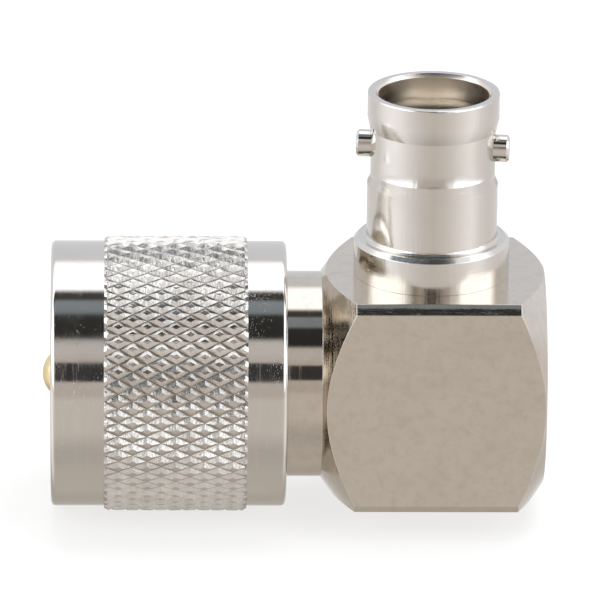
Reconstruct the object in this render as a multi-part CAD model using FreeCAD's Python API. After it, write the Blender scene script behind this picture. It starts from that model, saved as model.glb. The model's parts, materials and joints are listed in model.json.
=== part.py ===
"""Right-angle coaxial adapter: a screw-on UHF plug on one arm, a bayonet BNC jack on the other.

Lengths are in millimetres and angles in degrees. The plug's axis is X and the jack's axis is Z. The origin
is on the plug's axis at the front end of its inner sleeve, which is the plug's reference plane, so the nut
and the centre pin reach towards -X and the square body lies towards +X.
"""

import FreeCAD
import Part
import math
import os

# Square body, milled from bar and turned at both ends
jack_axis_x = 18.0            # reference plane to the jack's axis
block_side = 16.2
block_ahead = 8.05            # jack's axis to the end by the nut
block_behind = 8.35           # jack's axis to the closed end
block_edge_bevel = 0.65
block_front_step = 0.1        # front end's face, outside the neck
block_front_slope = 54.0      # turned cone by the nut, measured from the plug's axis
block_back_step = 0.1         # closed end's face, inside the flats
block_back_slope = 56.5       # turned cone at the closed end

# Neck that carries the coupling nut
neck_radius = 7.6
neck_collar_length = 0.8
neck_groove_depth = 0.65
neck_edge_bevel = 0.1

# Inner sleeve of the plug
sleeve_radius = 6.25
sleeve_bore_radius = 5.3
sleeve_reach = 1.2            # free length ahead of its flange
sleeve_flange_length = 0.8
sleeve_flange_gap = 0.2       # flange to the nut's thread, radially
sleeve_shank_step = 0.35      # shank below the sleeve's outside, radially
sleeve_shank_length = 4.4
sleeve_teeth = 4
sleeve_tooth_width = 1.2
sleeve_tooth_height = 0.6

# Coupling nut
nut_length = 17.3
nut_wall = 1.3                # outside the retaining ring's groove
nut_edge_round = 0.35
nut_front_band = 3.91
nut_rear_lip = 3.0            # behind the retaining ring
nut_front_land = 0.6          # ahead of the retaining ring
nut_running_gap = 0.08        # on the neck, radially
nut_relief_depth = 0.4        # behind the thread, outside the neck
nut_thread_radius = 7.4       # minor radius of the 5/8-24 thread
nut_thread_length = 7.8
nut_mouth_bevel = 0.55
nut_inner_bevel = 0.2

# Diamond knurl round the nut
knurl_length = 10.5
knurl_starts = 57             # grooves of each hand
knurl_rows = 5                # diamonds along the band
knurl_rise = 0.35             # tops above the nut's plain bands
knurl_depth = 0.3             # grooves below the tops
knurl_flat = 0.4              # width of a diamond's top, as a share of its base
knurl_bevel = 0.3             # turned edge at each end of the band

# Split ring that holds the nut and slides with it
ring_thickness = 1.0
ring_width = 1.35
ring_split = 1.6
ring_gap = 0.1                # to the floors of both grooves, radially
ring_side_gap = 0.05
nut_travel_back = 1.75        # from the place shown towards the square body
nut_travel_front = 0.45       # from the place shown towards the socket

# Centre pin of the plug
pin_radius = 1.98
pin_reach = 10.6
pin_tail_radius = 1.6
pin_tail_overrun = 1.8        # past the jack's axis
pin_tail_bevel = 0.2

# Insulators in the plug and the elbow
insulator_recess = 0.4
plug_insulator_length = 8.6
elbow_radius = 4.2
elbow_end_gap = 0.1           # pin's end to the bottom of its hole
elbow_cross_gap = 0.1         # round the tail of the jack's contact, radially

# Cap pressed into the closed end of the body
cap_step = 0.8                # outside the elbow's bore, radially
cap_thickness = 2.0
cap_bevel = 0.15

# Jack shell
jack_height = 22.0            # plug's axis to the mouth
jack_barrel_radius = 4.8
jack_collar_step = 0.92       # collar outside the barrel, radially
jack_collar_height = 2.75
jack_collar_bevel = 0.3
jack_foot_round = 0.3         # inside corner between the barrel and the collar
jack_step_length = 0.5
jack_waist_depth = 0.23
jack_waist_length = 3.4
jack_rim_step = 0.03          # rim outside the barrel, radially
jack_rim_cone = 1.2
jack_rim_length = 1.9
jack_rim_round = 0.12
jack_wall = 0.74              # barrel's outside to its bore
jack_bore_depth = 8.3
jack_mouth_bevel = 0.25
jack_web = 1.0
jack_rear_step = 0.76         # bore in front of the web to the bore behind it, radially
jack_shank_step = 0.2         # shank outside the barrel, radially
jack_ledge = 0.5              # metal left between the shank's seat and the elbow's bore
jack_passage_radius = 2.3

# Bayonet lugs
lug_radius = 1.0
lug_drop = 4.2                # mouth to the lug's axis
lug_rise = 0.8                # above the barrel
lug_inset = 0.05              # inner end behind the wall of the jack's bore
lug_end_bevel = 0.15
lug_turn = 6.6                # of the pair about the jack's axis

# Insulator and socket contact of the jack
boss_radius = 2.35
boss_drop = 3.1               # mouth to the top of the insulator
contact_drop = 0.3            # top of the insulator to the socket's end
contact_radius = 1.1
contact_gap = 0.1
contact_bore_radius = 0.685
contact_bore_depth = 4.2
contact_slots = 4
contact_slot_width = 0.2
contact_slot_depth = 3.2
contact_collar_radius = 1.6
contact_collar_length = 1.3
contact_tail_radius = 0.8
contact_tail_recess = 0.3     # tail's end inside the far side of the pin
contact_mouth_bevel = 0.15

# Places along the plug's axis
flange_front_x = sleeve_reach
neck_front_x = flange_front_x + sleeve_flange_length
groove_front_x = neck_front_x + neck_collar_length
ring_front_x = groove_front_x + nut_travel_front + ring_side_gap
ring_back_x = ring_front_x + ring_thickness
groove_back_x = ring_back_x + nut_travel_back + ring_side_gap
nut_back_x = ring_back_x + ring_side_gap + nut_rear_lip
nut_front_x = nut_back_x - nut_length
knurl_front_x = nut_front_x + nut_front_band
thread_end_x = nut_front_x + nut_thread_length
block_front_x = jack_axis_x - block_ahead
block_back_x = jack_axis_x + block_behind
shank_end_x = neck_front_x + sleeve_shank_length
plug_insulator_end_x = insulator_recess + plug_insulator_length
cap_front_x = block_back_x - cap_thickness
pin_end_x = jack_axis_x + pin_tail_overrun

# Radii about the plug's axis
groove_radius = neck_radius - neck_groove_depth
ring_inner_radius = groove_radius + ring_gap
ring_outer_radius = ring_inner_radius + ring_width
nut_bore_radius = neck_radius + nut_running_gap
nut_relief_radius = neck_radius + nut_relief_depth
nut_groove_radius = ring_outer_radius + ring_gap
nut_radius = nut_groove_radius + nut_wall
flange_radius = nut_thread_radius - sleeve_flange_gap
shank_radius = sleeve_radius - sleeve_shank_step
block_front_radius = neck_radius + block_front_step
block_back_radius = block_side / 2 - block_back_step
cap_radius = elbow_radius + cap_step
knurl_top_radius = nut_radius + knurl_rise
knurl_root_radius = knurl_top_radius - knurl_depth

# Heights and radii about the jack's axis
block_top_z = block_side / 2
jack_seat_z = elbow_radius + jack_ledge
collar_top_z = block_top_z + jack_collar_height
rim_foot_z = jack_height - jack_rim_length
waist_top_z = rim_foot_z - jack_rim_cone
waist_foot_z = waist_top_z - jack_waist_length
step_foot_z = waist_foot_z - jack_step_length
jack_floor_z = jack_height - jack_bore_depth
jack_web_z = jack_floor_z - jack_web
lug_z = jack_height - lug_drop
boss_top_z = jack_height - boss_drop
contact_top_z = boss_top_z - contact_drop
waist_radius = jack_barrel_radius - jack_waist_depth
jack_collar_radius = jack_barrel_radius + jack_collar_step
jack_rim_radius = jack_barrel_radius + jack_rim_step
jack_bore_radius = jack_barrel_radius - jack_wall
jack_rear_bore_radius = jack_bore_radius - jack_rear_step
lug_reach = jack_barrel_radius + lug_rise
jack_shank_radius = jack_barrel_radius + jack_shank_step

X_AXIS = FreeCAD.Vector(1, 0, 0)
Z_AXIS = FreeCAD.Vector(0, 0, 1)
ORIGIN = FreeCAD.Vector(0, 0, 0)
JACK_CENTRE = FreeCAD.Vector(jack_axis_x, 0, 0)

# Turning axes: a point on the axis, its direction, and the direction in which a section's radius is drawn
PLUG = (ORIGIN, X_AXIS, Z_AXIS)
JACK = (JACK_CENTRE, Z_AXIS, X_AXIS)


def turned(corners, axis):
    """Solid turned about an axis from half a section.

    A corner is (place along the axis, radius), with "round" or "bevel" and a size where its edge is broken.
    """
    centre, direction, outward = axis
    points = [centre + direction * corner[0] + outward * corner[1] for corner in corners]
    edges = []
    ends = []
    for index, corner in enumerate(corners):
        here = points[index]
        if len(corner) == 2:
            ends.append((here, here))
            continue
        back = (points[index - 1] - here).normalize()
        ahead = (points[(index + 1) % len(points)] - here).normalize()
        if corner[2] == "bevel":
            ends.append((here + back * corner[3], here + ahead * corner[3]))
            edges.append(Part.LineSegment(*ends[-1]).toShape())
            continue
        half_angle = back.getAngle(ahead) / 2
        start = here + back * (corner[3] / math.tan(half_angle))
        end = here + ahead * (corner[3] / math.tan(half_angle))
        middle = here + (back + ahead).normalize() * (corner[3] / math.sin(half_angle) - corner[3])
        ends.append((start, end))
        edges.append(Part.Arc(start, middle, end).toShape())
    for index, (start, end) in enumerate(ends):
        leaving = ends[index - 1][1]
        if leaving.distanceToPoint(start) > 1e-6:
            edges.append(Part.LineSegment(leaving, start).toShape())
    section = Part.Face(Part.Wire(Part.sortEdges(edges)[0]))
    return section.revolve(centre, direction, 360)


def bored(radius, start, end, axis):
    """Plain round hole or rod between two places along an axis."""
    return turned([(start, 0), (start, radius), (end, radius), (end, 0)], axis)


def square_bar():
    """Square bar from end to end of the body, its long edges bevelled."""
    half = block_side / 2
    near = half - block_edge_bevel
    corners = []
    for turn in range(4):
        spin = FreeCAD.Rotation(X_AXIS, 90 * turn)
        corners.append(spin.multVec(FreeCAD.Vector(0, half, near)))
        corners.append(spin.multVec(FreeCAD.Vector(0, near, half)))
    section = Part.Face(Part.makePolygon(corners + corners[:1]))
    section.translate(X_AXIS * block_front_x)
    return section.extrude(X_AXIS * (block_ahead + block_behind))


def block_body():
    """Square body with coned ends, the neck in one piece with it, and its crossing bores."""
    reach = block_side
    front_run = (reach - block_front_radius) / math.tan(math.radians(block_front_slope))
    back_run = (reach - block_back_radius) / math.tan(math.radians(block_back_slope))
    blank = turned([
        (block_front_x, 0),
        (block_front_x, block_front_radius),
        (block_front_x + front_run, reach),
        (block_back_x - back_run, reach),
        (block_back_x, block_back_radius),
        (block_back_x, 0),
    ], PLUG)
    neck = turned([
        (neck_front_x, 0),
        (neck_front_x, neck_radius, "bevel", neck_edge_bevel),
        (groove_front_x, neck_radius),
        (groove_front_x, groove_radius),
        (groove_back_x, groove_radius),
        (groove_back_x, neck_radius),
        (block_front_x + block_front_step, neck_radius),
        (block_front_x + block_front_step, 0),
    ], PLUG)
    body = square_bar().common(blank).fuse(neck)
    plug_bore = turned([
        (neck_front_x - 1, 0),
        (neck_front_x - 1, shank_radius),
        (shank_end_x, shank_radius),
        (shank_end_x, sleeve_bore_radius),
        (plug_insulator_end_x, sleeve_bore_radius),
        (plug_insulator_end_x, elbow_radius),
        (cap_front_x, elbow_radius),
        (cap_front_x, cap_radius),
        (block_back_x + 1, cap_radius),
        (block_back_x + 1, 0),
    ], PLUG)
    jack_bore = turned([
        (0, 0),
        (0, jack_passage_radius),
        (jack_seat_z, jack_passage_radius),
        (jack_seat_z, jack_shank_radius),
        (block_top_z + 1, jack_shank_radius),
        (block_top_z + 1, 0),
    ], JACK)
    return body.cut([plug_bore, jack_bore])


def closure_cap():
    """Flat cap pressed flush into the end of the body, over the hole used to assemble the elbow."""
    return turned([
        (cap_front_x, 0),
        (cap_front_x, cap_radius),
        (block_back_x, cap_radius, "bevel", cap_bevel),
        (block_back_x, 0),
    ], PLUG)


def plug_sleeve():
    """Outer contact of the plug: a sleeve with a toothed flange, its shank pressed into the neck."""
    sleeve = turned([
        (0, sleeve_bore_radius),
        (0, sleeve_radius, "bevel", sleeve_shank_step),
        (flange_front_x, sleeve_radius),
        (flange_front_x, flange_radius),
        (neck_front_x, flange_radius),
        (neck_front_x, shank_radius),
        (shank_end_x, shank_radius),
        (shank_end_x, sleeve_bore_radius),
    ], PLUG)
    rim = turned([
        (flange_front_x - sleeve_tooth_height, sleeve_radius),
        (flange_front_x - sleeve_tooth_height, flange_radius),
        (neck_front_x, flange_radius),
        (neck_front_x, sleeve_radius),
    ], PLUG)
    teeth = []
    for index in range(sleeve_teeth):
        corner = FreeCAD.Vector(0, -sleeve_tooth_width / 2, 0)
        bar = Part.makeBox(neck_front_x, sleeve_tooth_width, flange_radius + 1, corner)
        bar.rotate(ORIGIN, X_AXIS, 360 * index / sleeve_teeth)
        teeth.append(rim.common(bar))
    return sleeve.fuse(teeth).removeSplitter()


def plug_insulator():
    """Insulator that fills the sleeve and centres the pin."""
    body = bored(sleeve_bore_radius, insulator_recess, plug_insulator_end_x, PLUG)
    return body.cut(bored(pin_tail_radius, insulator_recess - 1, plug_insulator_end_x + 1, PLUG))


def centre_pin():
    """Round-nosed centre pin, its tail crossed by the hole for the jack's contact."""
    pin = turned([
        (-pin_reach, 0),
        (-pin_reach, pin_radius, "round", pin_radius),
        (insulator_recess, pin_radius),
        (insulator_recess, pin_tail_radius),
        (pin_end_x, pin_tail_radius, "bevel", pin_tail_bevel),
        (pin_end_x, 0),
    ], PLUG)
    return pin.cut(bored(contact_tail_radius, -elbow_radius, elbow_radius, JACK))


def elbow_insulator():
    """Insulator inside the body, crossed by the pin's tail and the contact's tail."""
    plug = bored(elbow_radius, plug_insulator_end_x, cap_front_x, PLUG)
    pin_hole = bored(pin_tail_radius, plug_insulator_end_x - 1, pin_end_x + elbow_end_gap, PLUG)
    contact_hole = bored(contact_tail_radius + elbow_cross_gap, 0, elbow_radius + 1, JACK)
    return plug.cut([pin_hole, contact_hole])


def coupling_nut():
    """Coupling nut: knurled outside; thread bore, relief and retaining groove inside."""
    front = turned([
        (nut_front_x, 0),
        (nut_front_x, nut_radius, "round", nut_edge_round),
        (knurl_front_x, nut_radius),
        (knurl_front_x, 0),
    ], PLUG)
    rear = turned([
        (knurl_front_x + knurl_length, 0),
        (knurl_front_x + knurl_length, nut_radius),
        (nut_back_x, nut_radius, "round", nut_edge_round),
        (nut_back_x, 0),
    ], PLUG)
    inside = turned([
        (nut_front_x - 1, 0),
        (nut_front_x - 1, nut_thread_radius + nut_mouth_bevel + 1),
        (nut_front_x + nut_mouth_bevel, nut_thread_radius),
        (thread_end_x, nut_thread_radius),
        (thread_end_x + (nut_relief_radius - nut_thread_radius), nut_relief_radius),
        (ring_front_x - ring_side_gap - nut_front_land, nut_relief_radius),
        (ring_front_x - ring_side_gap - nut_front_land, nut_bore_radius),
        (ring_front_x - ring_side_gap, nut_bore_radius),
        (ring_front_x - ring_side_gap, nut_groove_radius),
        (ring_back_x + ring_side_gap, nut_groove_radius),
        (ring_back_x + ring_side_gap, nut_bore_radius),
        (nut_back_x - nut_inner_bevel, nut_bore_radius),
        (nut_back_x + 1, nut_bore_radius + nut_inner_bevel + 1),
        (nut_back_x + 1, 0),
    ], PLUG)
    return knurled_band().fuse([front, rear]).cut(inside)


def knurled_band():
    """Solid drum covered with flat-topped diamonds, between the two crossing sets of grooves.

    Lattice points are half a diamond apart both ways. A diamond stands on every second point, and the
    end rows hold half diamonds under the band's turned bevel.
    """
    rows = 2 * knurl_rows
    step = knurl_length / rows
    turn = math.pi / knurl_starts
    bevel = knurl_bevel / step

    def point(row, column, radius):
        angle = column * turn
        return FreeCAD.Vector(knurl_front_x + row * step, radius * math.cos(angle), radius * math.sin(angle))

    def floor(row, column):
        return point(row, column, knurl_root_radius)

    def top(row, column):
        return point(row, column, knurl_top_radius)

    def diamond(row, column):
        base = [floor(row + 1, column), floor(row, column + 1), floor(row - 1, column), floor(row, column - 1)]
        flat = [
            top(row + knurl_flat, column),
            top(row, column + knurl_flat),
            top(row - knurl_flat, column),
            top(row, column - knurl_flat),
        ]
        sides = []
        for index in range(4):
            following = (index + 1) % 4
            sides.append((base[index], base[following], flat[following]))
            sides.append((base[index], flat[following], flat[index]))
        return sides + [(flat[0], flat[1], flat[2]), (flat[0], flat[2], flat[3])]

    def half_diamond(row, column):
        inward = 1 if row == 0 else -1
        low, middle, high = floor(row, column - 1), floor(row, column), floor(row, column + 1)
        inner = floor(row + inward, column)
        low_top = top(row + inward * bevel, column - (knurl_flat - bevel))
        high_top = top(row + inward * bevel, column + (knurl_flat - bevel))
        inner_top = top(row + inward * knurl_flat, column)
        return [
            (low, middle, low_top),
            (middle, high_top, low_top),
            (middle, high, high_top),
            (low, low_top, inner_top),
            (low, inner_top, inner),
            (high, inner_top, high_top),
            (high, inner, inner_top),
            (low_top, high_top, inner_top),
        ]

    triangles = []
    for row in range(rows + 1):
        for column in range((row + 1) % 2, 2 * knurl_starts, 2):
            if 0 < row < rows:
                triangles += diamond(row, column)
            else:
                triangles += half_diamond(row, column)
    outlines = [list(triangle) for triangle in triangles]
    for row in (0, rows):
        outlines.append([floor(row, column) for column in range(2 * knurl_starts)])
    faces = [Part.Face(Part.makePolygon(outline + outline[:1])) for outline in outlines]
    band = Part.makeSolid(Part.makeShell(faces))
    if band.Volume < 0:
        band.reverse()
    return band


def retaining_ring():
    """Split ring that sits in the nut's groove and slides along the wide groove of the neck."""
    ring = turned([
        (ring_front_x, ring_inner_radius),
        (ring_front_x, ring_outer_radius),
        (ring_back_x, ring_outer_radius),
        (ring_back_x, ring_inner_radius),
    ], PLUG)
    corner = FreeCAD.Vector(ring_front_x - 1, -ring_split / 2, -ring_outer_radius - 1)
    return ring.cut(Part.makeBox(ring_thickness + 2, ring_split, ring_outer_radius + 1, corner))


def lug_axis(side):
    """Axis of one lug, from the jack's axis outwards; the pair is turned a little about the jack."""
    direction = FreeCAD.Rotation(Z_AXIS, -lug_turn).multVec(X_AXIS * side)
    return (JACK_CENTRE + Z_AXIS * lug_z, direction, Z_AXIS)


def bayonet_lug(side):
    """Lug pressed through the shell's wall, flush inside and bevelled outside."""
    foot = jack_bore_radius + lug_inset
    return turned([
        (foot, 0),
        (foot, lug_radius),
        (lug_reach, lug_radius, "bevel", lug_end_bevel),
        (lug_reach, 0),
    ], lug_axis(side))


def jack_shell():
    """Outer contact of the jack: collar, stepped bayonet barrel and a shank pressed into the body."""
    shell = turned([
        (jack_seat_z, jack_rear_bore_radius),
        (jack_seat_z, jack_shank_radius),
        (block_top_z, jack_shank_radius),
        (block_top_z, jack_collar_radius),
        (collar_top_z, jack_collar_radius, "bevel", jack_collar_bevel),
        (collar_top_z, jack_barrel_radius, "round", jack_foot_round),
        (step_foot_z, jack_barrel_radius),
        (waist_foot_z, waist_radius),
        (waist_top_z, waist_radius),
        (rim_foot_z, jack_rim_radius),
        (jack_height, jack_rim_radius, "round", jack_rim_round),
        (jack_height, jack_bore_radius, "bevel", jack_mouth_bevel),
        (jack_floor_z, jack_bore_radius),
        (jack_floor_z, boss_radius),
        (jack_web_z, boss_radius),
        (jack_web_z, jack_rear_bore_radius),
    ], JACK)
    return shell.cut([bored(lug_radius, jack_bore_radius - 1, lug_reach, lug_axis(side)) for side in (-1, 1)])


def jack_insulator():
    """Insulator of the jack: a wide foot inside the shell and a slim boss in its mouth."""
    body = turned([
        (jack_seat_z, contact_collar_radius),
        (jack_seat_z, jack_rear_bore_radius),
        (jack_web_z, jack_rear_bore_radius),
        (jack_web_z, boss_radius),
        (boss_top_z, boss_radius),
        (boss_top_z, contact_radius + contact_gap),
        (contact_top_z - contact_bore_depth, contact_radius + contact_gap),
        (contact_top_z - contact_bore_depth, contact_radius),
        (jack_seat_z + contact_collar_length, contact_radius),
        (jack_seat_z + contact_collar_length, contact_collar_radius),
    ], JACK)
    return body


def jack_contact():
    """Slotted socket contact, with the collar that locates it and the tail that crosses the pin."""
    contact = turned([
        (contact_tail_recess - pin_tail_radius, 0),
        (contact_tail_recess - pin_tail_radius, contact_tail_radius),
        (jack_seat_z, contact_tail_radius),
        (jack_seat_z, contact_collar_radius),
        (jack_seat_z + contact_collar_length, contact_collar_radius),
        (jack_seat_z + contact_collar_length, contact_radius),
        (contact_top_z, contact_radius),
        (contact_top_z, contact_bore_radius, "bevel", contact_mouth_bevel),
        (contact_top_z - contact_bore_depth, contact_bore_radius),
        (contact_top_z - contact_bore_depth, 0),
    ], JACK)
    slots = []
    for index in range(contact_slots // 2):
        corner = FreeCAD.Vector(-contact_radius - 1, -contact_slot_width / 2, contact_top_z - contact_slot_depth)
        slot = Part.makeBox(2 * contact_radius + 2, contact_slot_width, contact_slot_depth + 1, corner)
        slot.rotate(ORIGIN, Z_AXIS, 360 * index / contact_slots)
        slot.translate(JACK_CENTRE)
        slots.append(slot)
    return contact.cut(slots)


def write_parts():
    """Builds every piece and writes each one to a STEP file under its own name."""
    pieces = {
        "block_body": block_body(),
        "closure_cap": closure_cap(),
        "plug_sleeve": plug_sleeve(),
        "plug_insulator": plug_insulator(),
        "centre_pin": centre_pin(),
        "elbow_insulator": elbow_insulator(),
        "retaining_ring": retaining_ring(),
        "coupling_nut": coupling_nut(),
        "jack_shell": jack_shell(),
        "lug_left": bayonet_lug(-1),
        "lug_right": bayonet_lug(1),
        "jack_insulator": jack_insulator(),
        "jack_contact": jack_contact(),
    }
    os.makedirs("parts", exist_ok=True)
    for name, piece in pieces.items():
        solid = piece.Solids[0]
        solid.exportStep("parts/" + name + ".step")
        print(name, "solids", len(piece.Solids), "valid", solid.isValid(), "volume", round(solid.Volume, 3))


write_parts()
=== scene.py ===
"""Fine detail and finishes for a right-angle coaxial adapter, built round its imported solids.

Constants, materials and turned sections are in millimetres. Properties, geometry trees and meshes
are in metres. The plug's axis is X, the jack's axis is Z, and the origin is at the plug's reference
plane.
"""

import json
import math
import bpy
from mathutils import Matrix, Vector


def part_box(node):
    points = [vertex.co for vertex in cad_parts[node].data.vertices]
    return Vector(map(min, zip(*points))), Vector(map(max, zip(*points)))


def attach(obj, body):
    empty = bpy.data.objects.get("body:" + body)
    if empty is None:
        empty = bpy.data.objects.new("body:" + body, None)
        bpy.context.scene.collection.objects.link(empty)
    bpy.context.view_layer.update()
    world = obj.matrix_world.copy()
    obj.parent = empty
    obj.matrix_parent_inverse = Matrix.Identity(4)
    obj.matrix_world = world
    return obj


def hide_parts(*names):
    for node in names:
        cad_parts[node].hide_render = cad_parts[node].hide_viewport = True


bl_info = {
    "name": "Right-angle coaxial adapter",
    "version": (1, 0, 0),
    "blender": (4, 5, 0),
    "location": "View3D > Sidebar > Adapter",
    "description": "Knurl, thread and plated finishes on the adapter's solids, in a plain studio",
    "category": "Object",
}

from typing import NamedTuple

import bmesh
import bpy
from bpy.props import FloatProperty, FloatVectorProperty, IntProperty, PointerProperty
from mathutils import Matrix, Vector

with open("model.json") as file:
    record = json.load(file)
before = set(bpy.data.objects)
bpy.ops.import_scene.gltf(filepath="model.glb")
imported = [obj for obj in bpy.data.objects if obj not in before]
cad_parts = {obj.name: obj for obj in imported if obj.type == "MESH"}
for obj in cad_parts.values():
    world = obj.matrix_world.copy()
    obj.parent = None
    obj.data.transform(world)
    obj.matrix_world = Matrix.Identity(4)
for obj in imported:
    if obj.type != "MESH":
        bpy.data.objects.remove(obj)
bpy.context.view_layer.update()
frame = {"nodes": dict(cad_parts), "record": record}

MM = 0.001
MICROMETRE = 1e-6
FRAME_PIXELS = 600
SLOT_COLOURS = {entry["slot"]: entry["base_color"] for entry in frame["record"]["materials"]}


class Cone(NamedTuple):
    """Turned cone at an end of the square body, from its place and radius there and its slope."""

    place: float
    radius: float
    slope: float


class Bore(NamedTuple):
    """Rough drilled inside: painted shade up to one axial place, painted light from another."""

    radius: float
    deep: float
    shallow: float


class Fillet(NamedTuple):
    """Fillet that takes the place of a cone in the shading.

    The cone goes from start to end along the axis and rises by so many micrometres. The fillet
    leaves the surface at soft_start and meets it in a line at soft_end.
    """

    start: float
    end: float
    rise: float
    soft_start: float
    soft_end: float


# Places and sizes of the solids that their boxes don't give
JACK_X = 18.0
LUG_Z = 17.8
FRONT_CONE = Cone(JACK_X - 8.05, 7.7, math.tan(math.radians(54)))
BACK_CONE = Cone(JACK_X + 8.35, 8.0, math.tan(math.radians(56.5)))
BEVEL_REACH = 15.55     # sum of Y and Z on the square body's bevelled edges
NUT_BORE = 7.68         # radius behind the thread
NUT_GROOVE = 8.5        # radius at the bottom of the retaining ring's groove
NUT_LAND = 0.6          # between the groove and the thread's relief
GROOVE_PLAY = 0.05      # on each side of the ring

# What the shading alone adds to the jack
# The jack's bore carries painted light and painted shade in its base colour
JACK_BORE = Bore(4.2, 19.0, 20.0)
STEP_FILLET = Fillet(15.5, 15.0, 230.0, 17.6, 15.95)
FLARE_FILLET = Fillet(20.1, 18.9, -260.0, 21.0, 19.3)


def length(label, millimetres, about):
    """A length property that is stored in metres."""
    return FloatProperty(
        name=label, description=about, default=millimetres * MM, unit="LENGTH", precision=5
    )


def turn_angle(label, degrees, about):
    """An angle property that is stored in radians."""
    return FloatProperty(
        name=label, description=about, default=math.radians(degrees), subtype="ANGLE"
    )


def pixels(label, count, about):
    """A property in pixels of the square frame."""
    return FloatProperty(name=label, description=about, default=count)


def whole_number(label, count, least, about):
    """A counting property."""
    return IntProperty(name=label, description=about, default=count, min=least)


def colour(label, slot, about):
    """A colour property whose default is the record's colour for that slot."""
    return FloatVectorProperty(
        name=label, description=about, default=SLOT_COLOURS[slot], subtype="COLOR", min=0, max=1
    )


class NutSizes(bpy.types.PropertyGroup):
    """Sizes of the coupling nut."""

    radius: length("Radius", 9.8, "Outside of the plain bands")
    edge_round: length("Edge round", 0.35, "Round at the nut's two ends")
    knurl_front: length("Knurl front", -6.04, "Where the knurled band starts along the plug's axis")
    knurl_length: length("Knurl length", 10.5, "Length of the knurled band")
    knurl_top: length("Knurl top", 10.15, "Radius over the diamonds")
    knurl_floor: length("Knurl floor", 9.88, "Radius at the bottom of the grooves")
    knurl_bevel: length("Knurl bevel", 0.3, "Turned edge at each end of the band")
    knurl_wander: length("Knurl wander", 0.08, "Unevenness of the diamonds' tops")
    starts: whole_number("Starts", 57, 8, "Grooves of each hand round the nut")
    rows: whole_number("Rows", 5, 1, "Diamonds along the band")
    thread_pitch: length("Thread pitch", 25.4 / 24, "Advance of the coupling thread in one turn")
    thread_root: length("Thread root", 7.96, "Radius at the bottom of the thread")
    thread_crest: length("Thread crest", 7.4, "Radius at the top of the thread")
    thread_end: length("Thread end", -1.9, "Where the thread runs out along the plug's axis")


class FinishColours(bpy.types.PropertyGroup):
    """Colours of the plated metals and the insulators."""

    satin: colour("Satin nickel", "satin_nickel", "Plating of the square body")
    bright: colour("Bright nickel", "bright_nickel", "Plating of the turned pieces")
    gold: colour("Gold", "gold_plate", "Plating of the centre contacts")
    spring: colour("Spring steel", "spring_wire", "Metal of the retaining ring")
    insulator: colour("Insulator", "white_insulator", "Fluoropolymer round the contacts")


class StudioSettings(bpy.types.PropertyGroup):
    """Camera, floor and lamps."""

    azimuth: turn_angle("Azimuth", -1.285, "Camera's turn about the jack")
    elevation: turn_angle("Elevation", 19.659, "Camera's height as an angle")
    roll: turn_angle("Roll", 0.574, "Camera's roll")
    distance: length("Distance", 599.7, "Camera to the crossing of the two axes")
    focal_pixels: pixels("Focal length", 8108.3, "In pixels of the frame")
    centre_u: pixels("Centre across", 429.44, "Axes' crossing, pixels from the left")
    centre_v: pixels("Centre down", 373.61, "Axes' crossing, pixels from the top")
    floor_drop: length("Floor", -10.2, "Height of the floor, just under the knurl")
    floor_radius: length("Floor radius", 900, "Radius of the round floor")
    lamp_power: FloatProperty(
        name="Lamp power", description="Of the key lamp, in watts", default=2.2, min=0
    )


class Value:
    """A node's output, with the arithmetic that the expressions below use."""

    def __init__(self, nodes, socket):
        self.nodes = nodes
        self.socket = socket

    def other(self, name):
        """Another output of the same node."""
        return Value(self.nodes, self.socket.node.outputs[name])

    def maths(self, operation, *values):
        return self.nodes.add("ShaderNodeMath", {"operation": operation}, dict(enumerate(values)))

    def __add__(self, value):
        return self.maths("ADD", self, value)

    __radd__ = __add__

    def __sub__(self, value):
        return self.maths("SUBTRACT", self, value)

    def __rsub__(self, value):
        return self.maths("SUBTRACT", value, self)

    def __mul__(self, value):
        return self.maths("MULTIPLY", self, value)

    __rmul__ = __mul__

    def __truediv__(self, value):
        return self.maths("DIVIDE", self, value)

    def __rtruediv__(self, value):
        return self.maths("DIVIDE", value, self)

    def __lt__(self, value):
        return self.maths("LESS_THAN", self, value)

    def __gt__(self, value):
        return self.maths("GREATER_THAN", self, value)

    def least(self, value):
        return self.maths("MINIMUM", self, value)

    def most(self, value):
        return self.maths("MAXIMUM", self, value)

    def size(self):
        return self.maths("ABSOLUTE", self)

    def root(self):
        return self.maths("SQRT", self)

    def rise(self, low, high):
        """0 up to low, 1 from high on, smooth between them."""
        return self.nodes.add(
            "ShaderNodeMapRange",
            {"interpolation_type": "SMOOTHSTEP"},
            {"Value": self, "From Min": low, "From Max": high},
        )


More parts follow.
